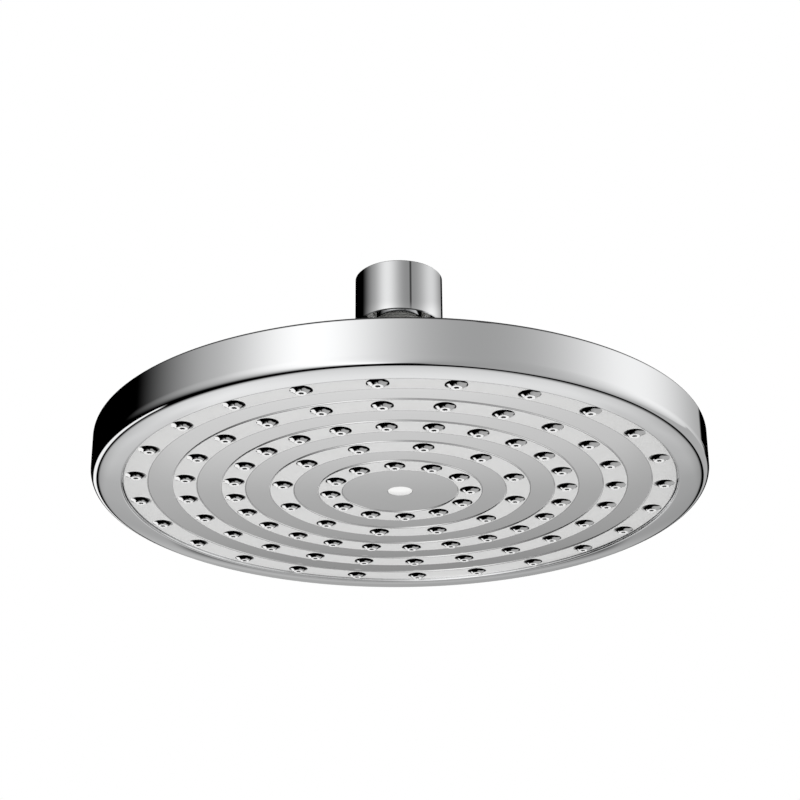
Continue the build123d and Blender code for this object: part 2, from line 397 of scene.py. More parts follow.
@dataclass(frozen=True)
class Finish:
    """A finish whose roughness drifts in patches and whose surface has a grain or lathe marks."""

    name: str
    color: tuple[float, float, float]
    metallic: float
    clean: float
    hazy: float
    patch_size: float = 9.0 * MM
    grain_size: float = 0.12 * MM
    relief: float = 0.0
    turned: bool = False
    coat: float = 0.0

    def make(self, effects: SurfaceEffects) -> bpy.types.Material:
        """Builds the material.

        Args:
            effects: Shader groups that the finishes share.

        Returns:
            The new material.
        """
        material = bpy.data.materials.new(self.name)
        material.use_nodes = True
        material.diffuse_color = (*self.color, 1.0)
        t = Tree(material.node_tree)
        patches = {"Patch size": self.patch_size, "Clean": self.clean, "Hazy": self.hazy}
        haze = t.add("ShaderNodeGroup", patches, node_tree=effects.haze)
        shader = t.add(
            "ShaderNodeBsdfPrincipled",
            {
                "Base Color": (*self.color, 1.0),
                "Metallic": self.metallic,
                "Roughness": haze.outputs["Roughness"],
                "Coat Weight": self.coat,
            },
        )
        if self.relief > 0:
            group = effects.lathe_marks if self.turned else effects.grain
            marks = t.add("ShaderNodeGroup", {0: self.grain_size}, node_tree=group)
            bump = t.add("ShaderNodeBump", {"Height": marks.outputs["Height"], "Distance": self.relief})
            t.tree.links.new(bump.outputs["Normal"], shader.inputs["Normal"])
        t.add("ShaderNodeOutputMaterial", {"Surface": shader.outputs["BSDF"]})
        return material


FINISHES: dict[Zone | Slot, Finish] = {
    Slot.CHROME: Finish("polished_chrome", (0.83, 0.835, 0.84), 1.0, 0.015, 0.035),
    Zone.POLISHED: Finish("polished_face", (0.83, 0.83, 0.83), 1.0, 0.03, 0.05),
    Zone.SATIN: Finish(
        "satin_chrome", (0.92, 0.92, 0.915), 0.5, 0.34, 0.40,
        patch_size=4.0 * MM, grain_size=0.10 * MM, relief=0.004 * MM,
    ),
    # The tip's near-white colour is painted highlight that stands in for the glint on each chrome nozzle
    # tip; its satin roughness is the tip's own
    Zone.TIP: Finish("satin_tip", (0.95, 0.95, 0.95), 0.2, 0.22, 0.28, patch_size=2.0 * MM),
    # The bore's near-black colour is painted shade: it stands in for the shade deep inside each nozzle's
    # hole
    Zone.BORE: Finish("shaded_bore", (0.02, 0.02, 0.02), 0.0, 0.5, 0.6, patch_size=1.0 * MM),
    Slot.CAP: Finish("white_plastic", (0.93, 0.93, 0.92), 0.0, 0.12, 0.2, patch_size=3.0 * MM, coat=0.3),
    Slot.BRASS: Finish(
        "turned_brass", (0.78, 0.58, 0.28), 1.0, 0.22, 0.34,
        patch_size=6.0 * MM, grain_size=0.15 * MM, relief=0.006 * MM, turned=True,
    ),
    Slot.STEEL: Finish(
        "stainless_steel", (0.60, 0.60, 0.61), 1.0, 0.25, 0.36,
        patch_size=4.0 * MM, grain_size=0.12 * MM, relief=0.004 * MM,
    ),
    Slot.SEAT: Finish(
        "bearing_plastic", (0.86, 0.85, 0.80), 0.0, 0.38, 0.5,
        patch_size=5.0 * MM, grain_size=0.2 * MM, relief=0.006 * MM,
    ),
    Slot.LIMITER: Finish(
        "green_plastic", (0.09, 0.32, 0.18), 0.0, 0.35, 0.48,
        patch_size=4.0 * MM, grain_size=0.2 * MM, relief=0.006 * MM,
    ),
    Slot.RUBBER: Finish(
        "sealing_rubber", (0.018, 0.018, 0.018), 0.0, 0.55, 0.72,
        patch_size=5.0 * MM, grain_size=0.25 * MM, relief=0.012 * MM,
    ),
}


class RingPattern:
    """Geometry Nodes tree that repeats a mesh round the Z axis and gives each zone its material."""

    def __init__(self) -> None:
        """Builds the tree with named inputs for the count, the turn and the materials."""
        t = Tree(bpy.data.node_groups.new("Ring pattern", "GeometryNodeTree"))
        t.tree.is_modifier = True
        t.socket("Geometry", "Geometry")
        self.count = t.socket("Count", "Int").identifier
        self.start = t.socket("Start angle", "Float").identifier
        self.materials = {zone: t.socket(zone.name.capitalize(), "Material").identifier for zone in Zone}
        t.socket("Geometry", "Geometry", out=True)
        given = t.add("NodeGroupInput").outputs
        points = t.add("GeometryNodePoints", {"Count": given["Count"]})
        step = t.maths("DIVIDE", math.tau, given["Count"])
        index = t.add("GeometryNodeInputIndex").outputs[0]
        angle = t.maths("MULTIPLY_ADD", index, step, given["Start angle"])
        copies = t.add(
            "GeometryNodeInstanceOnPoints",
            {
                "Points": points.outputs[0],
                "Instance": given["Geometry"],
                "Rotation": t.add("ShaderNodeCombineXYZ", {"Z": angle}).outputs[0],
            },
        )
        whole = t.add("GeometryNodeRealizeInstances", {0: copies.outputs[0]}).outputs[0]
        layer = t.add("GeometryNodeInputNamedAttribute", {"Name": ZONE_LAYER}, data_type="INT").outputs[0]
        for zone in Zone:
            chosen = t.add(
                "FunctionNodeCompare", {"A": layer, "B": int(zone)}, data_type="FLOAT", operation="EQUAL"
            )
            whole = t.add(
                "GeometryNodeSetMaterial",
                {
                    "Geometry": whole,
                    "Selection": chosen.outputs[0],
                    "Material": given[zone.name.capitalize()],
                },
            ).outputs[0]
        t.add("NodeGroupOutput", {"Geometry": whole})
        self.tree = t.tree

    def apply(self, cell: bpy.types.Mesh, count: int, start: float, materials: Materials) -> bpy.types.Mesh:
        """Repeats a cell round the axis.

        Args:
            cell: Mesh with a zone on each face.
            count: Number of copies.
            start: Angle of the first copy in radians.
            materials: Materials in the order of the zones.

        Returns:
            A plain mesh of all the copies.
        """
        values: dict[str, object] = {self.count: count, self.start: start}
        values |= {self.materials[zone]: materials[zone] for zone in Zone}
        return evaluate(cell, self.tree, values)


class HelixThread:
    """Geometry Nodes tree that sweeps a three-sided thread ridge along a helix.

    The ridge is a triangle in a circle: its depth and the place of its base are in radii of that circle.
    """

    STEPS_PER_TURN = 48
    RIDGE_SIDES = 3
    RIDGE_DEPTH = 1.5
    RIDGE_BASE = 0.5
    # Share of the length over which the ridge runs out at each end, and its scale at the very end
    RUN_OUT = 0.06
    RUN_OUT_SCALE = 0.15

    def __init__(self) -> None:
        """Builds the tree with named inputs for the thread's sizes."""
        t = Tree(bpy.data.node_groups.new("Helix thread", "GeometryNodeTree"))
        t.tree.is_modifier = True
        t.socket("Geometry", "Geometry")
        self.radius = t.socket("Root radius", "Float").identifier
        self.depth = t.socket("Depth", "Float").identifier
        self.length = t.socket("Length", "Float").identifier
        self.turns = t.socket("Turns", "Float").identifier
        self.bottom = t.socket("Bottom", "Float").identifier
        self.material = t.socket("Material", "Material").identifier
        t.socket("Geometry", "Geometry", out=True)
        given = t.add("NodeGroupInput").outputs
        ridge_radius = t.maths("DIVIDE", given["Depth"], self.RIDGE_DEPTH)
        path_radius = t.maths("MULTIPLY_ADD", ridge_radius, -self.RIDGE_BASE, given["Root radius"])
        path = t.add(
            "GeometryNodeCurveSpiral",
            {
                "Resolution": self.STEPS_PER_TURN,
                "Rotations": given["Turns"],
                "Start Radius": path_radius,
                "End Radius": path_radius,
                "Height": given["Length"],
            },
        )
        level = t.add("GeometryNodeSetCurveNormal", {"Curve": path.outputs[0]}, mode="Z_UP")
        along = t.add("GeometryNodeSplineParameter").outputs["Factor"]
        rise = t.span(along, (0.0, self.RUN_OUT), (self.RUN_OUT_SCALE, 1.0))
        fall = t.span(along, (1.0 - self.RUN_OUT, 1.0), (1.0, self.RUN_OUT_SCALE))
        profile = {"Resolution": self.RIDGE_SIDES, "Radius": ridge_radius}
        ridge = t.add("GeometryNodeCurvePrimitiveCircle", profile)
        swept = t.add(
            "GeometryNodeCurveToMesh",
            {
                "Curve": level.outputs[0],
                "Profile Curve": ridge.outputs[0],
                "Scale": t.maths("MINIMUM", rise, fall),
                "Fill Caps": True,
            },
        )
        lift = t.add("ShaderNodeCombineXYZ", {"Z": given["Bottom"]}).outputs[0]
        placed = t.add("GeometryNodeTransform", {"Geometry": swept.outputs[0], "Translation": lift})
        whole = t.add("GeometryNodeRealizeInstances", {0: placed.outputs[0]}).outputs[0]
        dressed = t.add("GeometryNodeSetMaterial", {"Geometry": whole, "Material": given["Material"]})
        t.add("NodeGroupOutput", {"Geometry": dressed.outputs[0]})
        self.tree = t.tree


def evaluate(mesh: bpy.types.Mesh, tree: bpy.types.NodeTree, values: dict[str, object]) -> bpy.types.Mesh:
    """Runs a Geometry Nodes tree on a mesh.

    Args:
        mesh: Mesh that the tree is given.
        tree: Tree to run.
        values: Value of each input by the socket's identifier.

    Returns:
        The result as a plain mesh.
    """
    carrier = show(mesh)
    modifier = carrier.modifiers.new("Pattern", "NODES")
    modifier.node_group = tree
    for identifier, value in values.items():
        modifier[identifier] = value
    depsgraph = bpy.context.evaluated_depsgraph_get()
    result = bpy.data.meshes.new_from_object(carrier.evaluated_get(depsgraph), depsgraph=depsgraph)
    carrier.modifiers.remove(modifier)
    bpy.data.objects.remove(carrier)
    return result


@dataclass
class RimRing:
    """Rim wall and the lip round the face, whose crown leans from the level by two angles in degrees."""

    lip_radius: float = 89.95 * MM
    lip_edge: float = 0.5 * MM
    crown_start: float = 1.3
    crown_end: float = 4.0
    corner: float = 2.8 * MM
    top_edge: float = 0.7 * MM
    wall: float = 2.4 * MM
    lip_thickness: float = 2.5 * MM
    ledge_width: float = 2.4 * MM
    ledge_height: float = 1.6 * MM
    cover_edge: float = 2.6 * MM
    snap_reach: float = 0.5 * MM
    snap_height: float = 1.4 * MM
    lip_edge_steps: int = 8
    crown_steps: int = 16
    corner_steps: int = 14
    top_edge_steps: int = 6

    def __post_init__(self) -> None:
        """Takes the outer sizes from the frame."""
        low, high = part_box("rim_ring")
        self.radius = high.x
        self.top = high.z
        self.lip_height = low.z

    def outline(self) -> list[Run]:
        """Works out the closed outline.

        Returns:
            One run, from the lip's inner edge round the outside to the inside.
        """
        start, end = math.radians(self.crown_start), math.radians(self.crown_end)
        inner = self.lip_radius + self.lip_edge
        outer = self.radius - self.corner * (1 - math.sin(end))
        crown_radius = (outer - inner) / (math.sin(end) - math.sin(start))
        crown_centre = (
            inner - crown_radius * math.sin(start),
            self.lip_height + crown_radius * math.cos(start),
        )
        first, last = self.crown_start - 90, self.crown_end - 90
        crown = arc(crown_centre, crown_radius, first, last, self.crown_steps)
        corner_centre = (self.radius - self.corner, crown[-1][1] + self.corner * math.cos(end))
        edge_centre = (self.radius - self.top_edge, self.top - self.top_edge)
        lip_centre = (inner, self.lip_height + self.lip_edge)
        bore = self.radius - self.wall
        ledge = self.top - self.cover_edge
        snap = ledge + self.cover_edge / 2
        points = [
            *arc(lip_centre, self.lip_edge, 180, 270, self.lip_edge_steps),
            *crown[1:],
            *arc(corner_centre, self.corner, last, 0, self.corner_steps)[1:],
            (self.radius, corner_centre[1] + SUPPORT),
            (self.radius, edge_centre[1] - SUPPORT),
            *arc(edge_centre, self.top_edge, 0, 90, self.top_edge_steps),
            (edge_centre[0] - SUPPORT, self.top),
            (bore, self.top),
            (bore, snap + self.snap_height / 2),
            (bore - self.snap_reach, snap),
            (bore, snap - self.snap_height / 2),
            (bore, ledge),
            (bore - self.ledge_width, ledge),
            (bore - self.ledge_width, ledge - self.ledge_height),
            (bore, ledge - self.ledge_height - self.ledge_width),
            (bore, self.lip_height + self.lip_thickness),
            (self.lip_radius, self.lip_height + self.lip_thickness),
            (self.lip_radius, self.lip_height + self.lip_edge),
        ]
        return [Run(tuple(points))]

    def build(self, chrome: bpy.types.Material) -> bpy.types.Object:
        """Makes the piece, dresses it and sets it on the head.

        Args:
            chrome: Polished chrome.

        Returns:
            The finished piece.
        """
        bm = bmesh.new()
        turn(bm, self.outline())
        piece = show(finish_mesh(bm, "finished_rim_ring", [chrome]))
        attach(piece, "head")
        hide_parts("rim_ring")
        return piece


@dataclass(frozen=True)
class NozzleRing:
    """One satin ring of nozzles, with the turn of its first nozzle in radians."""

    radius: float
    count: int
    turn: float


@dataclass
class SprayPlate:
    """Face plate with raised satin rings and a cone with a bore at each nozzle. Angles are in degrees."""

    band_width: float = 8.2 * MM
    band_edge: float = 0.25 * MM
    band_proud: float = 0.3 * MM
    nozzle_height: float = 1.0 * MM
    nozzle_base: float = 3.4 * MM
    nozzle_flare: float = 2.5 * MM
    flare_angle: float = 22.0
    nozzle_tip: float = 1.7 * MM
    tip_edge: float = 0.2 * MM
    bore: float = 0.7 * MM
    nozzle_sides: int = 32
    plate_radius: float = 89.8 * MM
    plate_thickness: float = 3.15 * MM
    flange_height: float = 1.8 * MM
    pillar_radius: float = 5.0 * MM
    pocket_radius: float = 4.1 * MM
    screw_radius: float = 2.1 * MM
    pocket_depth: float = 3.95 * MM
    clocking: float = 10.9
    ring_pitch: float = 15.7 * MM
    ring_counts: tuple[int, ...] = (12, 12, 24, 24, 24)
    inner_stagger: float = 15.0
    edge_steps: int = 6
    nose_steps: int = 4

    def __post_init__(self) -> None:
        """Takes the heights from the frame."""
        low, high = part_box("spray_plate")
        self.flange_radius = high.x
        self.band_height = low.z + self.nozzle_height
        self.face_height = self.band_height + self.band_proud
        self.back_height = self.face_height + self.plate_thickness
        self.pillar_top = high.z

    def nozzle_rings(self) -> list[NozzleRing]:
        """Works out the satin rings, the innermost turned by half a step against the others.

        Returns:
            The rings from the inside out.
        """
        outermost = self.plate_radius - self.band_width / 2
        rings = []
        for inset, count in enumerate(reversed(self.ring_counts)):
            innermost = inset == len(self.ring_counts) - 1
            turn_angle = self.clocking + (self.inner_stagger if innermost else 0.0)
            rings.append(NozzleRing(outermost - inset * self.ring_pitch, count, math.radians(turn_angle)))
        return rings[::-1]

    def outline(self) -> list[Run]:
        """Works out the plate's closed outline, with the satin rings left open on both faces.

        Returns:
            Runs from the middle of the face outwards, and back along the rear to the screw hole.
        """
        half = self.band_width / 2
        edge = self.band_edge
        front: list[Run] = []
        back: list[Run] = []
        start: Point = (self.pocket_radius, self.face_height)
        rear: Point = (self.pillar_radius, self.back_height)
        for ring in self.nozzle_rings():
            inner, outer = ring.radius - half, ring.radius + half
            centre = self.band_height + edge
            rise = [
                (inner, self.face_height),
                *arc((inner + edge, centre), edge, 180, 270, self.edge_steps),
                (inner + edge + SUPPORT, self.band_height),
            ]
            fall = [
                (outer - edge - SUPPORT, self.band_height),
                *arc((outer - edge, centre), edge, 270, 360, self.edge_steps),
                (outer, self.face_height),
            ]
            front.append(Run((start, (inner, self.face_height))))
            front.append(Run(tuple(rise)))
            front.append(Run((rise[-1], fall[0]), open=True))
            front.append(Run(tuple(fall)))
            start = fall[-1]
            behind_rise = (rise[-1][0], self.back_height)
            behind_fall = (fall[0][0], self.back_height)
            back.append(Run((rear, behind_rise)))
            back.append(Run((behind_rise, behind_fall), open=True))
            rear = behind_fall
        under_flange = self.back_height - self.flange_height
        rim = (
            start,
            (self.plate_radius, under_flange),
            (self.flange_radius, under_flange),
            (self.flange_radius, self.back_height),
            rear,
        )
        seat = self.face_height + self.pocket_depth
        middle = (
            (self.pillar_radius, self.back_height),
            (self.pillar_radius, self.pillar_top),
            (self.screw_radius, self.pillar_top),
            (self.screw_radius, seat),
            (self.pocket_radius, seat),
            (self.pocket_radius, self.face_height),
        )
        rear_runs = [Run(tuple(reversed(run.points)), open=run.open) for run in reversed(back)]
        return [*front, Run(rim), *rear_runs, Run(middle)]

    def sector(self, bm: bmesh.types.BMesh, ring: NozzleRing, height: float) -> list[bmesh.types.BMEdge]:
        """Makes the outline of one nozzle's share of a ring, about the X axis.

        Args:
            bm: Mesh under construction.
            ring: Ring that the nozzle is on.
            height: Height of the outline.

        Returns:
            The edges of the closed outline.
        """
        reach = self.band_width / 2 - self.band_edge - SUPPORT
        steps = TURN_STEPS // ring.count
        turns = [math.tau * (k - steps / 2) / TURN_STEPS for k in range(steps + 1)]
        outer = [(ring.radius + reach, t) for t in turns]
        inner = [(ring.radius - reach, t) for t in reversed(turns)]
        corners = [bm.verts.new((r * math.cos(t), r * math.sin(t), height)) for r, t in outer + inner]
        return [bm.edges.new((a, b)) for a, b in zip(corners, corners[1:] + corners[:1])]

    def nozzle_outline(self) -> list[tuple[Point, Zone]]:
        """Works out the outline of a nozzle about its own axis.

        Returns:
            Points from the foot of the cone over the tip and through the bore, with each next face's zone.
        """
        tip = self.band_height - self.nozzle_height
        flare_rise = (self.nozzle_base - self.nozzle_flare) * math.tan(math.radians(self.flare_angle))
        cone_height = self.nozzle_height - flare_rise
        lean = math.degrees(math.atan2(cone_height, self.nozzle_flare - self.nozzle_tip))
        back_off = self.tip_edge * math.tan(math.radians(lean / 2))
        centre = (self.nozzle_tip - back_off, tip + self.tip_edge)
        nose = arc(centre, self.tip_edge, -90 + lean, -90, self.nose_steps)
        mouth = self.bore + self.tip_edge / 2
        return [
            ((self.nozzle_base, self.band_height), Zone.POLISHED),
            ((self.nozzle_flare, self.band_height - flare_rise), Zone.POLISHED),
            *((point, Zone.POLISHED) for point in nose[:-1]),
            (nose[-1], Zone.TIP),
            ((mouth, tip), Zone.POLISHED),
            ((self.bore, tip + self.tip_edge / 2), Zone.BORE),
            ((self.bore, self.back_height), Zone.BORE),
        ]

    def cell(self, ring: NozzleRing) -> bpy.types.Mesh:
        """Makes one nozzle with its share of the satin ring and of the plate's back.

        Args:
            ring: Ring that the nozzle is on.

        Returns:
            Mesh with a zone on each face.
        """
        bm = bmesh.new()
        zone_layer = bm.faces.layers.int.new(ZONE_LAYER)
        middle = Vector((ring.radius, 0, 0))
        outline = self.nozzle_outline()
        circles = [circle(bm, point, self.nozzle_sides, middle) for point, _ in outline]
        for k, (_, zone) in enumerate(outline[:-1]):
            bridge(bm, circles[k], circles[k + 1], zone)
        for ends, height, zone in (
            (circles[0], self.band_height, Zone.SATIN),
            (circles[-1], self.back_height, Zone.POLISHED),
        ):
            rim = [bm.edges.get((a, b)) for a, b in zip(ends, ends[1:] + ends[:1])]
            border = rim + self.sector(bm, ring, height)
            filled = bmesh.ops.triangle_fill(bm, use_beauty=True, edges=border)
            for face in (item for item in filled["geom"] if isinstance(item, bmesh.types.BMFace)):
                face.material_index = zone
        for face in bm.faces:
            face[zone_layer] = face.material_index
        mesh = bpy.data.meshes.new("nozzle_cell")
        bm.to_mesh(mesh)
        bm.free()
        return mesh

    def build(self, pattern: RingPattern, materials: Materials) -> bpy.types.Object:
        """Makes the piece, dresses it and sets it on the head.

        Args:
            pattern: Tree that repeats the nozzles.
            materials: Materials in the order of the zones.

        Returns:
            The finished piece.
        """
        bm = bmesh.new()
        turn(bm, self.outline())
        for ring in self.nozzle_rings():
            nozzles = pattern.apply(self.cell(ring), ring.count, ring.turn, materials)
            join(bm, nozzles, materials)
        piece = show(finish_mesh(bm, "finished_spray_plate", materials))
        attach(piece, "head")
        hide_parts("spray_plate")
        return piece


@dataclass
class InletConnector:
    """Collar, neck and ball in one turned piece, with the thread cut inside the collar."""

    collar_height: float = 18.4 * MM
    collar_edge: float = 0.3 * MM
    edge_round: float = 0.25 * MM
    thread_minor: float = 9.315 * MM
    thread_major: float = 10.4775 * MM
    thread_pitch: float = 1.814 * MM
    thread_length: float = 11.0 * MM
    relief: float = 10.6 * MM
    washer_floor: float = 13.2 * MM
    pocket_radius: float = 6.5 * MM
    pocket_floor: float = 19.2 * MM
    water_bore: float = 5.0 * MM
    neck: float = 8.0 * MM
    flare: float = 3.3 * MM
    ball: float = 12.0 * MM
    ball_drop: float = 36.1 * MM
    sides: int = TURN_STEPS // 4
    flare_steps: int = 10
    ball_steps: int = 40

    def __post_init__(self) -> None:
        """Takes the collar's radius and top and the ball's flat from the frame."""
        low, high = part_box("inlet_connector")
        self.collar = high.x
        self.top = high.z
        self.flat = low.z

    def outline(self) -> list[Run]:
        """Works out the closed outline.

        Returns:
            One run, down the outside and up through the bore.
        """
        top, bottom = self.top, self.top - self.collar_height
        centre = self.top - self.ball_drop
        cut = self.collar_edge
        rise = math.degrees(math.asin(math.sqrt(1 - (self.neck / self.ball) ** 2)))
        foot = math.degrees(math.asin((self.flat - centre) / self.ball))
        flare_centre = (self.neck + self.flare, bottom - self.flare)
        lead = self.thread_major + self.edge_round
        points = [
            (lead, top),
            (self.collar - cut, top),
            (self.collar, top - cut),
            (self.collar, bottom + cut),
            (self.collar - cut, bottom),
            *arc(flare_centre, self.flare, 90, 180, self.flare_steps),
            *arc((0.0, centre), self.ball, rise, foot, self.ball_steps),
            (self.water_bore, self.flat),
            (self.water_bore, top - self.pocket_floor),
            (self.pocket_radius, top - self.pocket_floor),
            (self.pocket_radius, top - self.washer_floor),
            (self.relief, top - self.washer_floor),
            (self.relief, top - self.thread_length),
            (self.thread_major, top - self.thread_length),
            (self.thread_major, top - 2 * self.edge_round),
            (lead, top),
        ]
        return [Run(tuple(points))]

    def build(self, helix: HelixThread, chrome: bpy.types.Material) -> bpy.types.Object:
        """Makes the piece, dresses it and sets it on the inlet.

        Args:
            helix: Tree that sweeps the thread.
            chrome: Polished chrome.

        Returns:
            The finished piece.
        """
        bm = bmesh.new()
        turn(bm, self.outline(), self.sides)
        length = self.thread_length - self.thread_pitch
        thread = evaluate(
            bpy.data.meshes.new("thread_seed"),
            helix.tree,
            {
                helix.radius: self.thread_major,
                helix.depth: self.thread_major - self.thread_minor,
                helix.length: length,
                helix.turns: length / self.thread_pitch,
                helix.bottom: self.top - self.thread_length + self.thread_pitch / 2,
                helix.material: chrome,
            },
        )
        join(bm, thread, [chrome])
        piece = show(finish_mesh(bm, "finished_inlet_connector", [chrome]))
        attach(piece, "inlet")
        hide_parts("inlet_connector")
        return piece


@dataclass(frozen=True)
class Softbox:
    """A soft light seen in the chrome, by its direction round the part.

    It fades in over the two elevations of its foot. By default they are so low that it reaches all the way.
    """

    azimuth: float
    width: float
    level: float
    foot: Point = (-120.0, -110.0)


@dataclass(frozen=True)
class Flag:
    """A dark screen beside the part, from one direction to another, with a soft edge at both ends."""

    start: float
    end: float
    edge: float


@dataclass
class Studio:
    """Camera, pale floor, and the softboxes, flags and lit sweep that the chrome mirrors.

    Azimuths are in degrees from the camera's side towards +X, directions aside in degrees from the far side
    towards +X, and elevations in degrees above the level. Two elevations or directions together are the
    start and the end of a fade, unless a comment says otherwise.
    """

    LOWEST = -90.0
    HIGHEST = 90.0
    # Directions aside in a table are shares of this, because a ramp holds values from zero to one
    WIDEST = 90.0

    camera_place: tuple[float, float, float] = (0.00016, -0.5462, -0.28934)
    camera_pitch: float = 24.09
    camera_roll: float = -0.38
    lens: float = 80.53
    sensor: float = 36.0
    nearest: float = 0.01
    floor_height: float = -0.85
    floor_size: float = 60.0
    floor_color: tuple[float, float, float, float] = (0.82, 0.82, 0.82, 1.0)
    floor_roughness: float = 0.8
    floor_glow: float = 0.42
    lamp_height: float = 2.0
    lamp_size: float = 9.0
    lamp_power: float = 205.0
    base_level: float = 0.36
    softboxes: tuple[Softbox, ...] = (
        Softbox(-31.0, 30.0, 0.86),
        Softbox(94.0, 36.0, 0.68, (-85.0, 10.0)),
    )
    flags: tuple[Flag, ...] = (
        Flag(-181.0, -112.0, 40.0),
        Flag(148.5, 181.0, 3.0),
    )
    valance: Point = (26.8, 27.3)
    valance_level: float = 0.76
    pole: Flag = Flag(29.4, 33.0, 1.6)
    pole_level: float = 0.16
    ceiling: Point = (31.0, 40.0)
    ceiling_level: float = 0.05
    # Lower and upper edge of the dark gap behind the part, and how far aside it reaches
    gap: Point = (3.5, 18.0)
    gap_half: float = 40.0
    near_foot: Point = (-88.0, -82.0)
    # Half the width of the fade at a single limit
    softness: float = 1.5
    panel_left: float = 1.05
    panel_right: float = 0.46
    panel_half: float = 60.0
    panel_foot: float = -43.0
    # Two points of the panels' top edge, by the direction aside to the left and the elevation
    panel_top: tuple[Point, Point] = ((26.0, 4.5), (56.0, -44.0))
    # Elevation, then the directions aside where the sweep's fade starts and ends and where the panels start
    window: tuple[tuple[float, float, float, float], ...] = (
        (-57.0, 3.0, 28.0, 50.0),
        (-42.0, 3.0, 30.0, 40.0),
        (-36.0, 3.0, 28.0, 34.0),
        (-28.0, 8.0, 19.0, 27.5),
        (-24.0, 11.5, 17.0, 25.0),
        (-20.0, 12.5, 15.0, 24.0),
        (-16.0, 11.5, 14.0, 23.5),
        (-12.0, 9.0, 13.0, 22.5),
        (-9.0, 9.0, 13.0, 19.0),
        (-6.0, 9.0, 13.0, 15.0),
        (4.0, 9.0, 13.0, 13.0),
    )
    sweep_slope: float = -0.007
    sweep_middle: Point = (7.5, 9.0)
    # Elevation, then the level of light in the sweep's middle and at its sides
    sweep: tuple[tuple[float, float, float], ...] = (
        (-62.0, 0.0, 0.0),
        (-56.0, 0.62, 0.62),
        (-35.0, 0.70, 0.70),
        (-28.0, 0.90, 0.85),
        (-25.0, 0.82, 0.68),
        (-23.0, 0.69, 0.58),
        (-20.5, 0.44, 0.44),
        (-18.3, 0.30, 0.40),
        (-17.4, 0.16, 0.39),
        (-16.6, 0.14, 0.40),
        (-15.6, 0.42, 0.46),
        (-14.2, 0.52, 0.50),
        (-13.0, 0.42, 0.44),
        (-9.0, 0.42, 0.42),
    )

    def build_camera(self) -> None:
        """Places the scene's camera where the photograph was taken from."""
        data = bpy.data.cameras.new("camera")
        data.lens = self.lens
        data.sensor_width = self.sensor
        data.clip_start = self.nearest
        camera = bpy.data.objects.new("camera", data)
        pitch = Matrix.Rotation(math.radians(90 + self.camera_pitch), 4, "X")
        roll = Matrix.Rotation(math.radians(self.camera_roll), 4, "Z")
        camera.matrix_world = Matrix.Translation(self.camera_place) @ pitch @ roll
        bpy.context.scene.collection.objects.link(camera)
        bpy.context.scene.camera = camera

    def build_floor(self) -> None:
        """Lays the pale floor and hangs its lamp, which the chrome doesn't mirror."""
        bm = bmesh.new()
        place = Matrix.Translation((0, 0, self.floor_height))
        bmesh.ops.create_grid(bm, x_segments=1, y_segments=1, size=self.floor_size, matrix=place)
        material = bpy.data.materials.new("pale_floor")
        material.use_nodes = True
        shader = material.node_tree.nodes["Principled BSDF"]
        shader.inputs["Base Color"].default_value = self.floor_color
        shader.inputs["Roughness"].default_value = self.floor_roughness
        shader.inputs["Emission Color"].default_value = WHITE
        shader.inputs["Emission Strength"].default_value = self.floor_glow
        floor = show(finish_mesh(bm, "floor", [material]))
        data = bpy.data.lights.new("floor_lamp", "AREA")
        data.size = self.lamp_size
        data.energy = self.lamp_power
        lamp = bpy.data.objects.new("floor_lamp", data)
        lamp.location = (0, 0, self.lamp_height)
        bpy.context.scene.collection.objects.link(lamp)
        for thing in (floor, lamp):
            thing.visible_glossy = False

    def build_world(self) -> None:
        """Builds the light round the part: a white backdrop to the camera, and the studio to the chrome."""
        world = bpy.data.worlds.new("studio")
        world.use_nodes = True
        t = Tree(world.node_tree)
        way = t.add("ShaderNodeTexCoord").outputs["Generated"]
        x, y, z = t.add("ShaderNodeSeparateXYZ", {0: way}).outputs
        azimuth = t.maths("DEGREES", t.maths("ARCTAN2", x, t.maths("MULTIPLY", y, -1.0)))
        elevation = t.maths("DEGREES", t.maths("ARCSINE", z))
        aside = t.maths("DEGREES", t.maths("ARCTAN2", x, y))
        sides = self.side_level(t, azimuth, elevation)
        lower = self.lower_level(t, aside, elevation, sides)
        beside = self.around(t, t.maths("ABSOLUTE", aside), self.gap_half)
        behind = t.maths("MULTIPLY", sides, beside)
        upper = self.upper_level(t, azimuth, elevation, sides)
        bottom, top = self.gap
        level = self.mix(t, self.around(t, elevation, top), behind, upper)
        level = self.mix(t, self.around(t, elevation, bottom), lower, level)
        studio = t.add("ShaderNodeBackground", {"Color": WHITE, "Strength": level})
        backdrop = t.add("ShaderNodeBackground", {"Color": WHITE, "Strength": 1.0})
        seen = t.add("ShaderNodeLightPath").outputs["Is Camera Ray"]
        both = t.add("ShaderNodeMixShader", {0: seen, 1: studio.outputs[0], 2: backdrop.outputs[0]})
        t.add("ShaderNodeOutputWorld", {"Surface": both.outputs[0]})
        bpy.context.scene.world = world

    def side_level(self, t: Tree, azimuth: Socket, elevation: Socket) -> Socket:
        """Works out the light from the sides: the softboxes over an even level, behind the flags.

        Args:
            t: Tree of the world.
            azimuth: Direction round the part.
            elevation: Direction above the level.

        Returns:
            The level of light.
        """
        level: Value = self.base_level
        for box in self.softboxes:
            away = t.maths("DIVIDE", t.maths("SUBTRACT", azimuth, box.azimuth), box.width)
            glow = t.maths("EXPONENT", t.maths("MULTIPLY", t.maths("POWER", away, 2.0), -1.0))
            glow = t.maths("MULTIPLY", glow, self.step(t, elevation, *box.foot))
            level = t.maths("MULTIPLY_ADD", glow, box.level, level)
        for flag in self.flags:
            level = t.maths("MULTIPLY", level, t.maths("SUBTRACT", 1.0, self.shade(t, azimuth, flag)))
        return level

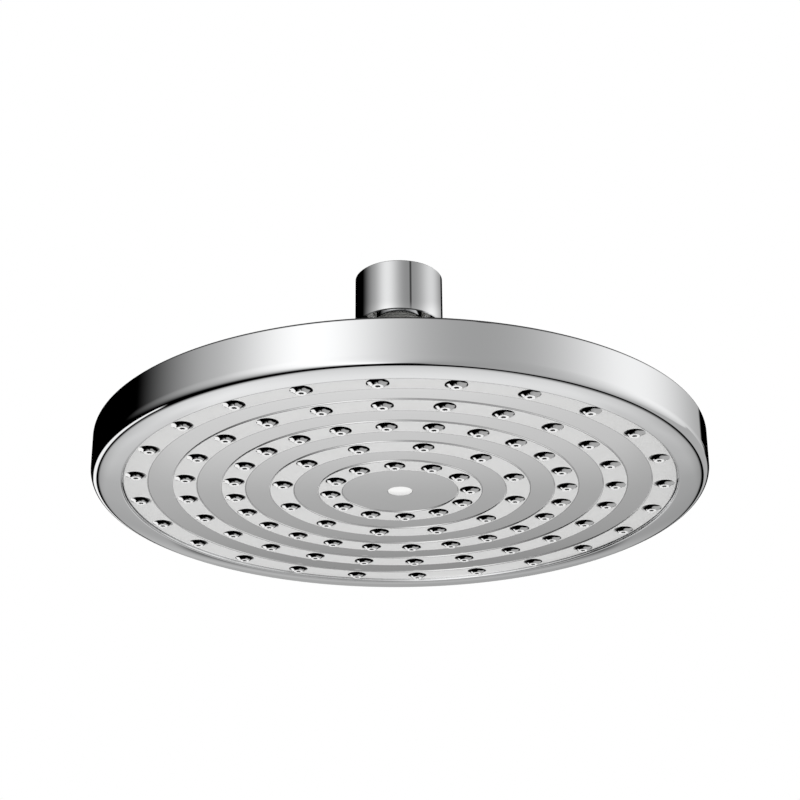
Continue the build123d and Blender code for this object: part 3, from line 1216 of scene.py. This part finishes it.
    def upper_level(self, t: Tree, azimuth: Socket, elevation: Socket, sides: Socket) -> Socket:
        """Works out the light from above: a dimmer valance with a thin pole, and the dark ceiling.

        Args:
            t: Tree of the world.
            azimuth: Direction round the part.
            elevation: Direction above the level.
            sides: Light from the sides.

        Returns:
            The level of light.
        """
        above = self.step(t, elevation, *self.valance)
        pole = self.mix(t, self.shade(t, azimuth, self.pole), self.valance_level, self.pole_level)
        dimmed = t.maths("MULTIPLY", sides, self.mix(t, above, 1.0, pole))
        return self.mix(t, self.step(t, elevation, *self.ceiling), dimmed, self.ceiling_level)

    def lower_level(self, t: Tree, aside: Socket, elevation: Socket, sides: Socket) -> Socket:
        """Works out the light from below.

        The sweep lies behind the part. To its left and right are a black strip, then a lit panel, and then
        the sides.

        Args:
            t: Tree of the world.
            aside: Direction from the far side towards +X.
            elevation: Direction above the level.
            sides: Light from the sides.

        Returns:
            The level of light.
        """
        away = t.maths("ABSOLUTE", aside)
        shares = [(angle, *(width / self.WIDEST for width in widths)) for angle, *widths in self.window]
        limits = self.ramp(t, elevation, shares, Easing.STRAIGHT)
        start, end, outer = (t.maths("MULTIPLY", limit, self.WIDEST) for limit in limits)
        middle, side, _ = self.ramp(t, elevation, [(*row, 0.0) for row in self.sweep], Easing.SMOOTH)
        lit = self.mix(t, self.step(t, away, *self.sweep_middle), middle, side)
        lean = t.maths("MULTIPLY_ADD", aside, self.sweep_slope, 1.0)
        inside = t.maths("SUBTRACT", 1.0, self.step(t, away, start, end))
        sweep = t.maths("MULTIPLY", t.maths("MULTIPLY", lit, lean), inside)
        near = t.maths("MULTIPLY", sides, self.step(t, elevation, *self.near_foot))
        beyond = self.around(t, away, outer)
        level = self.mix(t, beyond, sweep, near)
        (inner, high), (wide, low) = self.panel_top
        top = t.span(t.maths("MULTIPLY", aside, -1.0), (inner, wide), (high, low))
        above_foot = self.around(t, elevation, self.panel_foot)
        rows = t.maths("SUBTRACT", above_foot, self.around(t, elevation, top))
        columns = t.maths("SUBTRACT", beyond, self.around(t, away, self.panel_half))
        share = t.maths("MULTIPLY", t.maths("MAXIMUM", rows, 0.0), t.maths("MAXIMUM", columns, 0.0))
        panel = self.mix(t, self.around(t, aside, 0.0), self.panel_left, self.panel_right)
        return self.mix(t, share, level, panel)

    def ramp(
        self, t: Tree, elevation: Socket, rows: Sequence[tuple[float, ...]], easing: Easing
    ) -> Sequence[Socket]:
        """Reads three values off a table.

        Args:
            t: Tree of the world.
            elevation: Direction above the level.
            rows: Elevation and three values between zero and one, from the lowest up.
            easing: Way to go from one row to the next.

        Returns:
            The three values.
        """
        height = t.span(elevation, (self.LOWEST, self.HIGHEST))
        ramp = t.add("ShaderNodeValToRGB", {"Fac": height})
        ramp.color_ramp.interpolation = easing.value
        stops = ramp.color_ramp.elements
        halfway = 0.5
        while len(stops) < len(rows):
            stops.new(halfway)
        for stop, (angle, *values) in zip(stops, rows):
            stop.position = (angle - self.LOWEST) / (self.HIGHEST - self.LOWEST)
            stop.color = (*values, 1.0)
        return t.add("ShaderNodeSeparateColor", {0: ramp.outputs["Color"]}).outputs

    def shade(self, t: Tree, azimuth: Socket, flag: Flag) -> Socket:
        """Works out what a screen takes away.

        Args:
            t: Tree of the world.
            azimuth: Direction round the part.
            flag: The screen.

        Returns:
            The share of light that is lost.
        """
        opens = self.step(t, azimuth, flag.start - flag.edge, flag.start)
        closes = self.step(t, azimuth, flag.end, flag.end + flag.edge)
        return t.maths("SUBTRACT", opens, closes)

    def around(self, t: Tree, value: Socket, limit: Value) -> Socket:
        """Rises smoothly from zero to one across a limit."""
        low, high = (t.maths("ADD", limit, way * self.softness) for way in (-1, 1))
        return self.step(t, value, low, high)

    @staticmethod
    def step(t: Tree, value: Socket, low: Value, high: Value) -> Socket:
        """Rises smoothly from zero at the low value to one at the high one."""
        return t.span(value, (low, high), smooth=True)

    @staticmethod
    def mix(t: Tree, share: Socket, first: Value, second: Value) -> Socket:
        """Goes from the first value to the second as the share goes from zero to one."""
        return t.add("ShaderNodeMix", {0: share, 2: first, 3: second}).outputs[0]

    def build(self) -> None:
        """Sets up the camera, the floor and the light."""
        self.build_camera()
        self.build_floor()
        self.build_world()
        bpy.context.scene.view_settings.view_transform = "Standard"


def dress_nodes(nodes: dict[str, bpy.types.Object], dressed: dict[Slot, bpy.types.Material]) -> None:
    """Gives each piece of the frame the finish of its slot.

    Args:
        nodes: Pieces of the frame by name.
        dressed: Material of each slot.
    """
    for name, node in nodes.items():
        for slot in node.material_slots:
            slot.material = dressed[Slot(slot.material.name)]
        LOG.info("dressed %s", name)


def main() -> None:
    """Builds the pieces in order around the frame and reports each one."""
    logging.basicConfig(level=logging.INFO, format="%(name)s: %(message)s")
    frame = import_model()
    effects = SurfaceEffects()
    materials = {key: finish.make(effects) for key, finish in FINISHES.items()}
    chrome = materials[Slot.CHROME]
    dress_nodes(frame["nodes"], {slot: materials.get(slot, chrome) for slot in Slot})
    pieces = [
        RimRing().build(chrome),
        SprayPlate().build(RingPattern(), [materials[zone] for zone in Zone]),
        InletConnector().build(HelixThread(), chrome),
    ]
    for piece in pieces:
        LOG.info("built %s with %d faces", piece.name, len(piece.data.polygons))
    Studio().build()


if __name__ == "__main__":
    main()
